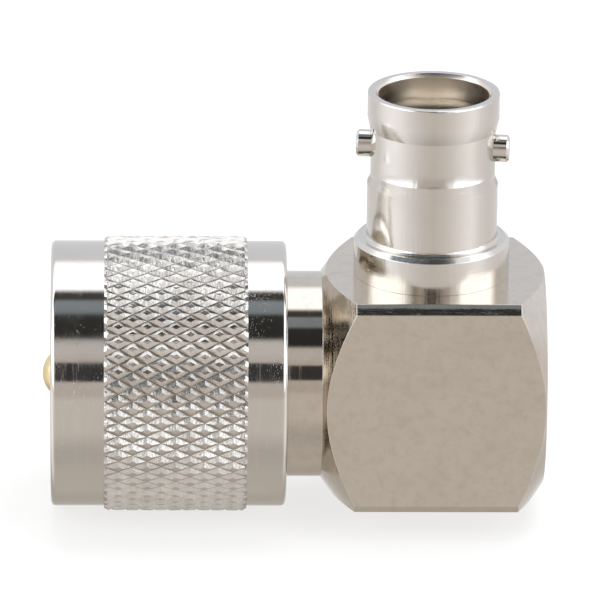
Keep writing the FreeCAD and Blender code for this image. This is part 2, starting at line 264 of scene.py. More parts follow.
class Nodes:
    """A node tree of a material, the world or a piece's geometry."""

    def __init__(self, tree):
        self.tree = tree
        tree.nodes.clear()

    def add(self, kind, settings=None, values=None, output=0):
        """Adds a node, gives it its settings, then the values or links of its sockets."""
        node = self.tree.nodes.new(kind)
        for name, setting in (settings or {}).items():
            if name == "stops":
                elements = node.color_ramp.elements
                while len(elements) < len(setting):
                    elements.new(0.5)
                for element, (place, shade) in zip(elements, setting):
                    element.position = place
                    parts = shade if isinstance(shade, tuple) else (shade, shade, shade)
                    element.color = (*parts, 1)
            else:
                setattr(node, name, setting)
        for name, value in (values or {}).items():
            if isinstance(value, Value):
                self.tree.links.new(value.socket, node.inputs[name])
            else:
                node.inputs[name].default_value = value
        return Value(self, node.outputs[output]) if node.outputs else node

    def blend(self, share, first, second):
        """Mixes two colours, through the sockets that the node keeps for them."""
        sockets = {0: share, 6: first, 7: second}
        for key in (6, 7):
            if not isinstance(sockets[key], Value):
                sockets[key] = (*sockets[key], 1)
        return self.add("ShaderNodeMix", {"data_type": "RGBA"}, sockets, 2)

    def point(self, x, y, z):
        return self.add("ShaderNodeCombineXYZ", None, {0: x, 1: y, 2: z})

    def ramp(self, value, stops):
        """A colour from a value, through stops of (value, colour or grey) over any range."""
        low, high = stops[0][0], stops[-1][0]
        spread = [((place - low) / (high - low), shade) for place, shade in stops]
        return self.add("ShaderNodeValToRGB", {"stops": spread}, {0: (value - low) / (high - low)})


class Finish(Nodes):
    """A material in the making, whose patterns are placed in millimetres on Object coordinates."""

    def __init__(self, name):
        self.material = bpy.data.materials.new(name)
        self.material.use_nodes = True
        super().__init__(self.material.node_tree)
        place = self.add("ShaderNodeTexCoord", None, None, "Object")
        values = {0: place, "Scale": 1 / MM}
        self.place = self.add("ShaderNodeVectorMath", {"operation": "SCALE"}, values)
        split = self.add("ShaderNodeSeparateXYZ", None, {0: self.place})
        self.x, self.y, self.z = split, split.other("Y"), split.other("Z")

    def noise(self, at, scale, detail=2.0, roughness=0.5):
        values = {"Vector": at, "Scale": scale, "Detail": detail, "Roughness": roughness}
        return self.add("ShaderNodeTexNoise", None, values)

    def stretched(self, x, y, z):
        """The place with its three directions scaled apart."""
        values = {0: self.place, 1: (x, y, z)}
        return self.add("ShaderNodeVectorMath", {"operation": "MULTIPLY"}, values)

    def turning(self, axis, centre=(0.0, 0.0)):
        """Fine and broad rings that a lathe leaves, nearly even round the axis, and the radius."""
        if axis == "X":
            along, first, second = self.x, self.y - centre[0], self.z - centre[1]
        else:
            along, first, second = self.z, self.x - centre[0], self.y - centre[1]
        radius = (first * first + second * second).root().most(0.01)
        profile = along + radius

        def rings(scale, around, detail, roughness=0.5):
            at = self.point(profile * scale, first / radius * around, second / radius * around)
            return self.noise(at, 1.0, detail, roughness)

        return rings(7, 1.1, 3.0, 0.6), rings(1.6, 0.7, 2.0), radius

    def specks(self, scale, radius, share):
        """Small round pits in a share of the cells of a Voronoi pattern."""
        cells = self.add("ShaderNodeTexVoronoi", None, {"Vector": self.place, "Scale": scale})
        chosen = self.add("ShaderNodeSeparateColor", None, {0: cells.other("Color")})
        inside = 1 - cells.rise(radius * 0.5, radius)
        return inside * (chosen < share)

    def surface(self, base, roughness, height, edge=0.0, metallic=1.0):
        """The material, from a base colour, a roughness and a relief in micrometres.

        edge is the radius to which the shading softens its edges.
        """
        values = {"Strength": 1.0, "Distance": MICROMETRE, "Height": height}
        if edge:
            values["Normal"] = self.add("ShaderNodeBevel", {"samples": 6}, {"Radius": edge * MM})
        bump = self.add("ShaderNodeBump", None, values)
        shader = self.add(
            "ShaderNodeBsdfPrincipled",
            None,
            {"Base Color": base, "Metallic": metallic, "Roughness": roughness, "Normal": bump},
        )
        self.add("ShaderNodeOutputMaterial", None, {0: shader})
        return self.material


def toned(shade, *factors):
    """A colour with its three parts scaled, by one factor for all or by one for each."""
    if len(factors) == 1:
        factors *= 3
    return tuple(part * factor for part, factor in zip(shade, factors))


def turned_nickel(
    name, shade, axis, centre=(0.0, 0.0), streak=9.0, smooth=0.055, edge=0.0, bore=None,
    drawn=0.0, grit=0.0, fillets=(),
):
    """Bright nickel over a turned surface: lathe rings, faint smudges, pits and a few specks.

    streak is the depth of the rings and smooth the lowest roughness. A bore is left rough, with
    painted light in its base colour and painted shade deep down. drawn is the depth of faint
    lines along the axis, outside the bore, and grit that of fine specks and of short scratches
    round the axis. Depths are in micrometres.
    """
    make = Finish(name)
    along = make.x if axis == "X" else make.z
    fine, broad, radius = make.turning(axis, centre)
    smudge = make.noise(make.place, 0.22, 3.0, 0.6).rise(0.42, 0.72)
    pits = make.specks(1.5, 0.1, 0.16)
    dust = make.noise(make.place, 9.0, 2.0, 0.7).rise(0.66, 0.78)
    groups = broad.rise(0.45, 0.7)
    roughness = smooth + smudge * 0.07 + dust * 0.06 + pits * 0.2 + groups * 0.03
    height = (fine - 0.5) * streak * (0.35 + groups) - pits * 3.0 + dust * 0.5
    if drawn:
        lines = make.noise(make.stretched(4.0, 4.0, 0.35), 1.0, 3.0, 0.65)
        patches = make.noise(make.place, 0.35, 1.0).rise(0.45, 0.65)
        if bore:
            patches = patches * (radius > bore.radius)
        height = height + (lines - 0.5) * drawn * patches
        roughness = roughness + patches * 0.03
    tint = make.blend(smudge * 0.35 + pits * 0.5, shade, toned(shade, 0.9))
    if grit:
        round_axis = (5.0, 1.2, 1.2) if axis == "X" else (1.2, 1.2, 5.0)
        scratches = make.noise(make.stretched(*round_axis), 2.2, 3.0, 0.75).rise(0.6, 0.74)
        grains = make.noise(make.place, 7.5, 2.0, 0.75).rise(0.62, 0.72)
        worn = make.noise(make.place, 0.3, 2.0, 0.6).rise(0.4, 0.62)
        height = height + (grains * 1.8 - scratches * 4.5) * grit * (0.25 + worn)
        roughness = roughness + scratches * 0.12 * (0.2 + worn)
    for start, end, rise, soft_start, soft_end in fillets:
        sharp = ((along - start) / (end - start)).most(0.0).least(1.0)
        soft = ((along - soft_start) / (soft_end - soft_start)).most(0.0).least(1.0)
        height = height + (soft * soft - sharp) * rise
    if bore:
        inside = radius < bore.radius
        # Painted shade: the base colour falls to a fifth deep in the bore, where shade falls
        painted_bore_shade = inside * (1 - along.rise(bore.deep, bore.shallow))
        roughness = roughness + inside * 0.15
        # Painted light: inside the bore a warmer, brighter base colour lifts the reflections in the
        # mouth
        tint = make.blend(inside, tint, toned(shade, 1.16, 1.09, 1.02))
        tint = make.blend(painted_bore_shade, tint, toned(shade, 0.2))
    return make.surface(tint, roughness, height, edge)


def knurled_nickel(name, shade, floor_radius, top_radius):
    """Nickel over the pressed diamonds: torn, uneven, with painted shade in the grooves, rubbed on
    the tops.

    The two radii are in metres.
    """
    make = Finish(name)
    fine, _, radius = make.turning("X")
    lift = (radius - floor_radius / MM) / ((top_radius - floor_radius) / MM)
    groove = 1 - lift.rise(0.0, 0.24)
    rubbed = lift.rise(0.8, 0.97)
    torn = make.noise(make.place, 2.4, 2.0, 0.6)
    grains = make.noise(make.place, 12.0, 2.0, 0.75)
    cloud = make.noise(make.place, 0.5, 2.0, 0.6).rise(0.35, 0.7)
    height = (torn - 0.5) * 32.0 + (grains - 0.5) * 2.5 + (fine - 0.5) * 3.0
    roughness = 0.2 + (1 - rubbed) * 0.04 + groove * 0.1 + grains.rise(0.55, 0.75) * 0.06
    clean = toned(shade, 0.97, 0.965, 0.96)
    tint = make.blend(cloud * 0.4 + torn.rise(0.5, 0.75) * 0.3, clean, toned(clean, 0.8))
    # Painted shade: the base colour darkens in the grooves, where shade falls between the diamonds
    tint = make.blend(groove, tint, toned(clean, 0.6))
    return make.surface(tint, roughness, height)


def square_body_nickel(name, shade, cones, bevel_reach):
    """Nickel of the square body: milled flats with grain and handling marks, turned cones and neck.

    bevel_reach is the sum of the two coordinates across the body on its bevelled long edges, which
    are a little crowned.
    """
    make = Finish(name)
    fine, broad, radius = make.turning("X")
    near, near_end = 0.04, 0.02
    front, back = cones
    off_front = (radius - front.radius - (make.x - front.place) * front.slope).size()
    off_back = (radius - back.radius - (back.place - make.x) * back.slope).size()
    on_cone = off_front.least(off_back) < near
    turned = (on_cone + (make.x < front.place - near_end)).least(1.0)
    rings = (fine - 0.5) * 20.0 * (0.3 + broad.rise(0.45, 0.7))

    blotch = make.noise(make.place, 0.32, 4.0, 0.62).rise(0.4, 0.7)
    patches = make.noise(make.place, 1.1, 3.0, 0.7).rise(0.42, 0.72)
    stain = make.noise(make.stretched(0.35, 0.5, 0.5), 1.3, 3.0, 0.65).rise(0.52, 0.8)
    grain = make.noise(make.stretched(0.4, 6.0, 6.0), 1.0, 3.0, 0.65)
    pits = make.specks(0.9, 0.07, 0.3)
    scratches = make.noise(make.stretched(3.0, 3.0, 0.25), 2.2, 2.0, 0.7).rise(0.7, 0.78)
    dust = make.noise(make.place, 8.0, 2.0, 0.7).rise(0.64, 0.78)
    milled = (grain - 0.5) * 2.6 + (blotch - 0.5) * 6.0 - scratches * 1.6
    height = turned * rings + (1 - turned) * (milled + dust * 0.4) - pits * 2.5
    bevel = (1 - turned) * (make.y.size() + make.z.size() > bevel_reach - near_end)
    crown = (make.z.size() - make.y.size() - 0.05).most(0.0)
    height = height - bevel * crown * crown * 75.0 + bevel * patches * 3.0

    flat_roughness = 0.125 + blotch * 0.07 + stain * 0.08 + scratches * 0.1
    turned_roughness = 0.07 + broad.rise(0.45, 0.7) * 0.05
    roughness = turned * turned_roughness + (1 - turned) * flat_roughness
    roughness = roughness + pits * 0.25 + dust * 0.04 - bevel * flat_roughness * 0.6
    worn = make.blend(blotch * 0.35 + patches * 0.65, shade, toned(shade, 0.89))
    tint = make.blend(stain * 0.35 + pits * 0.5, worn, toned(shade, 0.86, 0.82, 0.78))
    return make.surface(tint, roughness, height, edge=0.09)


def gold_plate(name, shade, axis, centre=(0.0, 0.0)):
    """Gold plating over a turned contact, a little rubbed where a socket slides on it."""
    make = Finish(name)
    fine, broad, _ = make.turning(axis, centre)
    rub = broad.rise(0.5, 0.75)
    dust = make.noise(make.place, 7.0, 2.0, 0.7).rise(0.6, 0.78)
    tint = make.blend(0.35 + rub * 0.5, shade, toned(shade, 0.9, 0.99, 1.3))
    return make.surface(tint, 0.3 + rub * 0.08 + dust * 0.1, (fine - 0.5) * 4.0 * (0.4 + rub))


def spring_steel(name, shade):
    """Bare spring steel, drawn and lightly stained."""
    make = Finish(name)
    fine, _, _ = make.turning("X")
    stain = make.noise(make.place, 0.6, 3.0, 0.6).rise(0.45, 0.7)
    tint = make.blend(stain * 0.6, shade, toned(shade, 0.72))
    return make.surface(tint, 0.26 + stain * 0.14, (fine - 0.5) * 8.0)


def insulator(name, shade, axis, centre=(0.0, 0.0)):
    """White fluoropolymer with a waxy surface and the rings of its turning."""
    make = Finish(name)
    fine, broad, _ = make.turning(axis, centre)
    cloud = make.noise(make.place, 0.5, 3.0, 0.6).rise(0.35, 0.75)
    tint = make.blend(cloud * 0.5, shade, toned(shade, 0.95, 0.94, 0.9))
    height = (fine - 0.5) * 9.0 + broad * 6.0
    return make.surface(tint, 0.38 + cloud * 0.14, height, metallic=0.0)


def add_object(name, mesh):
    """A new object at the origin, in the scene."""
    made = bpy.data.objects.new(name, mesh)
    bpy.context.scene.collection.objects.link(made)
    return made


def close_piece(piece, body, material=None):
    """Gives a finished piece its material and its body."""
    if material:
        piece.data.materials.clear()
        piece.data.materials.append(material)
    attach(piece, body)


def dress(node, material):
    """Puts a material on a solid that keeps its own shape."""
    piece = frame["nodes"][node]
    if not piece.material_slots:
        piece.data.materials.append(material)
    for entry in piece.material_slots:
        entry.material = material


def rounded(corners, steps=5, support=0.05):
    """Closed section with its corners rounded, each given as (along, radius, round).

    A point close to each side of a round lets the flats keep their own shading.
    """
    section = []
    points = [Vector(corner[:2]) for corner in corners]
    for index, corner in enumerate(corners):
        here = points[index]
        back = points[index - 1] - here
        ahead = points[(index + 1) % len(points)] - here
        half_angle = back.angle(ahead) / 2
        radius = corner[2]
        reach = radius / math.tan(half_angle)
        middle = (back.normalized() + ahead.normalized()).normalized()
        centre = here + middle * (radius / math.sin(half_angle))
        start = here + back.normalized() * reach
        end = here + ahead.normalized() * reach
        if back.length > 4 * reach + 4 * support:
            section.append(start + back.normalized() * support)
        for step in range(steps + 1):
            arm = (start - centre).lerp(end - centre, step / steps).normalized() * radius
            section.append(centre + arm)
        if ahead.length > 4 * reach + 4 * support:
            section.append(end + ahead.normalized() * support)
    return section


def turned_ring(name, section, segments):
    """Closed ring turned about the plug's axis from a section of (along, radius) points."""
    vertices = []
    for turn in range(segments):
        angle = 2 * math.pi * turn / segments
        for along, radius in section:
            across, up = radius * MM * math.cos(angle), radius * MM * math.sin(angle)
            vertices.append((along * MM, across, up))
    count = len(section)
    faces = []
    for turn in range(segments):
        this, following = turn * count, (turn + 1) % segments * count
        for index in range(count):
            after = (index + 1) % count
            faces.append((this + index, this + after, following + after, following + index))
    mesh = bpy.data.meshes.new(name)
    mesh.from_pydata(vertices, [], faces)
    return tidy_mesh(mesh)


def put_in_order(mesh):
    """Rebuilds a mesh with its points and faces in order of place, the same in every run."""
    points = [tuple(vertex.co) for vertex in mesh.vertices]
    order = sorted(range(len(points)), key=points.__getitem__)
    ranks = {old: new for new, old in enumerate(order)}
    faces = [[ranks[index] for index in face.vertices] for face in mesh.polygons]
    mesh.clear_geometry()
    mesh.from_pydata([points[index] for index in order], [], sorted(faces, key=sorted))


def tidy_mesh(mesh, sharp=None):
    """Turns the faces outwards and shades them smooth, but for edges sharper than an angle."""
    work = bmesh.new()
    work.from_mesh(mesh)
    bmesh.ops.recalc_face_normals(work, faces=work.faces)
    work.to_mesh(mesh)
    work.free()
    put_in_order(mesh)
    mesh.shade_smooth()
    if sharp:
        mesh.set_sharp_from_angle(angle=math.radians(sharp))
    return mesh


def group_inputs(tree, sockets):
    """Declares a geometry tree's output and its inputs by kind, and returns the named inputs."""
    kinds = {int: "NodeSocketInt", float: "NodeSocketFloat", None: "NodeSocketMaterial"}
    tree.interface.new_socket("Geometry", in_out="OUTPUT", socket_type="NodeSocketGeometry")
    tree.interface.new_socket("Geometry", in_out="INPUT", socket_type="NodeSocketGeometry")
    made = {}
    for name, kind in sockets.items():
        made[name] = tree.interface.new_socket(name, in_out="INPUT", socket_type=kinds[kind])
    return made


def end_tree(make, start, shape):
    """Gives the shape its finish and sends it out of the geometry tree."""
    values = {"Geometry": shape, "Material": start.other("Finish")}
    make.add("NodeGroupOutput", None, {0: make.add("GeometryNodeSetMaterial", None, values)})


def knurl_tree():
    """Sets one flat diamond on every point of a crossed lattice and bends it round the nut."""
    tree = bpy.data.node_groups.new("diamond_knurl", "GeometryNodeTree")
    sockets = group_inputs(tree, {
        "Starts": int,
        "Rows": int,
        "Front": float,
        "Length": float,
        "Floor radius": float,
        "Top radius": float,
        "Wander": float,
        "Finish": None,
    })
    merge_reach, waver_scale = 2e-6, 1150.0
    make = Nodes(tree)
    start = make.add("NodeGroupInput")
    starts, rows = start.other("Starts"), start.other("Rows")
    floor_radius = start.other("Floor radius")
    depth = start.other("Top radius") - floor_radius
    step = start.other("Length") / (rows * 2)
    half_turn = math.pi / starts

    place = make.add("ShaderNodeSeparateXYZ", None, {0: make.add("GeometryNodeInputPosition")})
    radius = floor_radius + place.other("Z") * depth
    angle = place.other("Y") * half_turn
    across, up = radius * angle.maths("SINE", angle), radius * angle.maths("COSINE", angle)
    bent = make.add(
        "GeometryNodeSetPosition",
        None,
        {"Geometry": start.other("Geometry"), "Position": make.point(place * step, across, up)},
    )
    index = make.add("GeometryNodeInputIndex")
    row = (index / starts).maths("FLOOR", (index + 0.5) / starts)
    column = index - row * starts
    offset = (row + 1).maths("MODULO", row + 1, 2)
    along = make.point(start.other("Front") + row * step, 0.0, 0.0)
    values = {"Count": starts * (rows * 2 + 1), "Position": along}
    points = make.add("GeometryNodePoints", None, values)
    angles = make.point((column * 2 + offset) * half_turn * -1, 0.0, 0.0)
    turn = make.add("FunctionNodeEulerToRotation", None, {0: angles})
    values = {"Points": points, "Instance": bent, "Rotation": turn}
    copies = make.add("GeometryNodeInstanceOnPoints", None, values)
    whole = make.add("GeometryNodeRealizeInstances", None, {0: copies})
    values = {"Geometry": whole, "Distance": merge_reach}
    merged = make.add("GeometryNodeMergeByDistance", None, values)

    here = make.add("GeometryNodeInputPosition")
    x = make.add("ShaderNodeSeparateXYZ", None, {0: here})
    y, z = x.other("Y"), x.other("Z")
    reach = (y * y + z * z).root()
    lift = (reach - floor_radius) / depth
    values = {"Vector": here, "Scale": waver_scale, "Detail": 1.0}
    waver = make.add("ShaderNodeTexNoise", None, values)
    grow = 1 + (waver - 0.5) * 2 * start.other("Wander") * lift.rise(0.2, 0.9) / reach
    values = {"Geometry": merged, "Position": make.point(x, y * grow, z * grow)}
    uneven = make.add("GeometryNodeSetPosition", None, values)
    end_tree(make, start, uneven)
    return tree, sockets


def thread_tree():
    """Sweeps a truncated V along a helix in the nut's bore and tapers it out at both ends."""
    tree = bpy.data.node_groups.new("coupling_thread", "GeometryNodeTree")
    sockets = group_inputs(tree, {
        "Pitch": float,
        "Turns": float,
        "Root radius": float,
        "Crest radius": float,
        "Start": float,
        "Segments": int,
        "Finish": None,
    })
    run_out_turns, thinnest = 0.45, 0.03
    foot_share, crest_share, flank = 0.08, 0.13, math.radians(30)
    quarter = math.radians(90)
    make = Nodes(tree)
    start = make.add("NodeGroupInput")
    pitch, turns, root = start.other("Pitch"), start.other("Turns"), start.other("Root radius")
    helix = make.add(
        "GeometryNodeCurveSpiral",
        None,
        {
            "Resolution": start.other("Segments"),
            "Rotations": turns,
            "Start Radius": root,
            "End Radius": root,
            "Height": pitch * turns,
        },
    )
    upright = make.add("GeometryNodeSetCurveNormal", {"mode": "Z_UP"}, {"Curve": helix})
    share = make.add("GeometryNodeSplineParameter")
    taper = (share.least(1 - share) * turns).rise(0.0, run_out_turns).most(thinnest)
    values = {"Curve": upright, "Radius": taper}
    tapered = make.add("GeometryNodeSetCurveRadius", None, values)
    depth = root - start.other("Crest radius")
    foot = depth * foot_share
    crest_width = pitch * crest_share
    foot_width = crest_width + (depth + foot) * 2 * math.tan(flank)
    tooth = make.add(
        "GeometryNodeCurvePrimitiveQuadrilateral",
        {"mode": "TRAPEZOID"},
        {
            "Bottom Width": foot_width,
            "Top Width": crest_width,
            "Height": depth + foot,
            "Offset": 0.0,
        },
    )
    values = {"Geometry": tooth, "Translation": make.point(0.0, (depth - foot) / 2, 0.0)}
    seated = make.add("GeometryNodeTransform", None, values)
    values = {"Geometry": seated, "Rotation": (0.0, 0.0, quarter)}
    swung = make.add("GeometryNodeTransform", None, values)
    values = {"Curve": tapered, "Profile Curve": swung, "Fill Caps": True}
    ridge = make.add("GeometryNodeCurveToMesh", None, values)
    laid = make.add(
        "GeometryNodeTransform",
        None,
        {
            "Geometry": ridge,
            "Rotation": (0.0, quarter, 0.0),
            "Translation": make.point(start.other("Start"), 0.0, 0.0),
        },
    )
    end_tree(make, start, make.add("GeometryNodeRealizeInstances", None, {0: laid}))
    return tree, sockets


def grown(name, seed, tree, sockets, values):
    """Runs a geometry tree on a seed mesh with the given inputs, and returns a plain mesh."""
    holder = add_object(name + "_seed", seed)
    modifier = holder.modifiers.new("shape", "NODES")
    modifier.node_group = tree
    for label, value in values.items():
        modifier[sockets[label].identifier] = value
    evaluated = holder.evaluated_get(bpy.context.evaluated_depsgraph_get())
    mesh = bpy.data.meshes.new_from_object(evaluated)
    mesh.name = name
    bpy.data.objects.remove(holder)
    return mesh


def diamond_patch():
    """One diamond of the knurl, its height in shares of the depth: four walls and a blunt top.

    The grooves of one hand are pressed a little deeper than those of the other.
    """
    heights = {1.0: 0.0, 0.34: 0.95, 0.0: 1.0}
    shallow = {**heights, 1.0: 0.12}
    places = sorted({side * place for place in heights for side in (-1, 1)})
    count = len(places)
    vertices = []
    for first in places:
        for second in places:
            height = min(heights[abs(first)], shallow[abs(second)])
            vertices.append(((first + second) / 2, (first - second) / 2, height))
    faces = []
    for row in range(count - 1):
        for column in range(count - 1):
            low = row * count + column
            high = low + count
            if row == column:
                faces += [(low, low + 1, high + 1), (low, high + 1, high)]
            elif row + column == count - 2:
                faces += [(low, low + 1, high), (low + 1, high + 1, high)]
            else:
                faces.append((low, low + 1, high + 1, high))
    mesh = bpy.data.meshes.new("diamond")
    mesh.from_pydata(vertices, [], faces)
    return mesh


def trimmed_band(mesh, front, back, bevel, floor_radius, top_radius, inner_radius):
    """Cuts the knurled band at its ends, bevels them to a plain rim and closes its inner wall."""
    work = bmesh.new()
    work.from_mesh(mesh)
    strip_share, rim_share, nearly = 0.7, 0.35, 0.98
    strip = bevel * strip_share
    for inset in (0, bevel, strip):
        for place, direction in ((front + inset, -1), (back - inset, 1)):
            bmesh.ops.bisect_plane(
                work,
                geom=work.verts[:] + work.edges[:] + work.faces[:],
                dist=1e-7,
                plane_co=(place, 0, 0),
                plane_no=(direction, 0, 0),
                clear_outer=inset == 0,
            )
    rim_radius = floor_radius + (top_radius - floor_radius) * rim_share
    for vertex in work.verts:
        inward = min(vertex.co.x - front, back - vertex.co.x)
        limit = rim_radius + (top_radius - rim_radius) * min(1.0, max(0.0, inward) / bevel)
        radius = math.hypot(vertex.co.y, vertex.co.z)
        if radius > limit or inward < strip * nearly:
            vertex.co.y *= limit / radius
            vertex.co.z *= limit / radius
    rims = [edge for edge in work.edges if edge.is_boundary]
    fresh = bmesh.ops.extrude_edge_only(work, edges=rims)["geom"]
    for vertex in (part for part in fresh if isinstance(part, bmesh.types.BMVert)):
        radius = math.hypot(vertex.co.y, vertex.co.z)
        vertex.co.y *= inner_radius / radius
        vertex.co.z *= inner_radius / radius
    inner = [part for part in fresh if isinstance(part, bmesh.types.BMEdge) and part.is_boundary]
    bmesh.ops.bridge_loops(work, edges=inner)
    work.to_mesh(mesh)
    work.free()
    return tidy_mesh(mesh, 12)


class ADAPTER_OT_coupling_nut(bpy.types.Operator):
    """Make the coupling nut: turned body, diamond knurl and inside thread"""

    bl_idname = "adapter.coupling_nut"
    bl_label = "Coupling nut"

    def execute(self, context):
        sizes = context.scene.adapter_nut
        shade = tuple(context.scene.adapter_colours.bright)
        self.make_body(sizes, shade)
        self.make_knurl(sizes, shade)
        self.make_thread(sizes, shade)
        return {"FINISHED"}

    def make_body(self, sizes, shade):
        """Turns the plain bands, the bore, the ring's groove and the wall that bears the thread."""
        low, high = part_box("coupling_nut")
        front, back = low.x / MM, high.x / MM
        radius, edge = sizes.radius / MM, sizes.edge_round / MM
        root, thread_end = sizes.thread_root / MM, sizes.thread_end / MM
        ring_front, ring_back = (corner.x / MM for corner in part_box("retaining_ring"))
        groove_front, groove_back = ring_front - GROOVE_PLAY, ring_back + GROOVE_PLAY
        mouth_bevel, mouth_depth, bore_bevel = 0.32, 0.3, 0.2
        soft, crisp = 0.03, 0.01
        relief = root + 0.05
        section = rounded([
            (front, root + mouth_bevel, soft),
            (front, radius, edge),
            (back, radius, edge),
            (back, NUT_BORE + bore_bevel, soft),
            (back - bore_bevel, NUT_BORE, soft),
            (groove_back, NUT_BORE, soft),
            (groove_back, NUT_GROOVE, soft),
            (groove_front, NUT_GROOVE, soft),
            (groove_front, NUT_BORE, soft),
            (groove_front - NUT_LAND, NUT_BORE, soft),
            (groove_front - NUT_LAND, relief, soft),
            (thread_end, relief, crisp),
            (thread_end, root, crisp),
            (front + mouth_depth, root, soft),
        ])
        metal = turned_nickel("nut_nickel", shade, "X", streak=15.0, grit=1.0)
        body = add_object("coupling_nut_body", turned_ring("coupling_nut_body", section, 256))
        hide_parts("coupling_nut")
        close_piece(body, "nut", metal)

    def make_knurl(self, sizes, shade):
        """Sets the diamonds round the body, in one band that reaches a little under its surface."""
        inner_radius = sizes.radius - 0.4 * MM
        metal = knurled_nickel("knurl_nickel", shade, sizes.knurl_floor, sizes.knurl_top)
        tree, sockets = knurl_tree()
        mesh = grown("coupling_nut_knurl", diamond_patch(), tree, sockets, {
            "Starts": sizes.starts,
            "Rows": sizes.rows,
            "Front": sizes.knurl_front,
            "Length": sizes.knurl_length,
            "Floor radius": sizes.knurl_floor,
            "Top radius": sizes.knurl_top,
            "Wander": sizes.knurl_wander,
            "Finish": metal,
        })
        trimmed_band(
            mesh, sizes.knurl_front, sizes.knurl_front + sizes.knurl_length, sizes.knurl_bevel,
            sizes.knurl_floor, sizes.knurl_top, inner_radius,
        )
        close_piece(add_object("coupling_nut_knurl", mesh), "nut", metal)

    def make_thread(self, sizes, shade):
        """Winds the thread from just inside the nut's mouth to just short of its relief."""
        lead, tail = 0.45 * MM, 0.3 * MM
        thread_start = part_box("coupling_nut")[0].x + lead
        turns = (sizes.thread_end - tail - thread_start) / sizes.thread_pitch
        metal = turned_nickel("thread_nickel", shade, "X", streak=3.0, smooth=0.16)
        tree, sockets = thread_tree()
        mesh = grown("coupling_nut_thread", bpy.data.meshes.new("empty"), tree, sockets, {
            "Pitch": sizes.thread_pitch,
            "Turns": turns,
            "Root radius": sizes.thread_root,
            "Crest radius": sizes.thread_crest,
            "Start": thread_start,
            "Segments": 96,
            "Finish": metal,
        })
        thread = add_object("coupling_nut_thread", tidy_mesh(mesh, 30))
        close_piece(thread, "nut", metal)


class ADAPTER_OT_square_body(bpy.types.Operator):
    """Finish the square body, its neck and the closing cap"""

    bl_idname = "adapter.square_body"
    bl_label = "Square body"

    def execute(self, context):
        shade = tuple(context.scene.adapter_colours.satin)
        cones = (FRONT_CONE, BACK_CONE)
        dress("block_body", square_body_nickel("body_nickel", shade, cones, BEVEL_REACH))
        cap = turned_nickel("cap_nickel", shade, "X", streak=7.0, smooth=0.1, edge=0.06)
        dress("closure_cap", cap)
        return {"FINISHED"}


class ADAPTER_OT_jack(bpy.types.Operator):
    """Finish the bayonet jack: shell, lugs, insulator and contact"""

    bl_idname = "adapter.jack"
    bl_label = "Bayonet jack"

    def execute(self, context):
        colours = context.scene.adapter_colours
        bright = tuple(colours.bright)
        about = (JACK_X, 0.0)
        shell = turned_nickel(
            "jack_nickel", bright, "Z", about, streak=5.0, smooth=0.115, edge=0.06,
            bore=JACK_BORE, drawn=22.0, fillets=(STEP_FILLET, FLARE_FILLET),
        )
        dress("jack_shell", shell)
        lug_metal = turned_nickel("lug_nickel", bright, "X", (0.0, LUG_Z), streak=4.0, edge=0.05)
        dress("lug_left", lug_metal)
        dress("lug_right", lug_metal)
        dress("jack_insulator", insulator("jack_white", tuple(colours.insulator), "Z", about))
        dress("jack_contact", gold_plate("jack_gold", tuple(colours.gold), "Z", about))
        return {"FINISHED"}


class ADAPTER_OT_plug_core(bpy.types.Operator):
    """Finish what is inside the nut and the elbow: sleeve, pin, insulators and retaining ring"""

    bl_idname = "adapter.plug_core"
    bl_label = "Plug core"

    def execute(self, context):
        colours = context.scene.adapter_colours
        bright, white = tuple(colours.bright), tuple(colours.insulator)
        dress("plug_sleeve", turned_nickel("sleeve_nickel", bright, "X", streak=6.0, smooth=0.09))
        dress("centre_pin", gold_plate("pin_gold", tuple(colours.gold), "X"))
        dress("plug_insulator", insulator("plug_white", white, "X"))
        dress("elbow_insulator", insulator("elbow_white", white, "X"))
        dress("retaining_ring", spring_steel("ring_steel", tuple(colours.spring)))
        return {"FINISHED"}


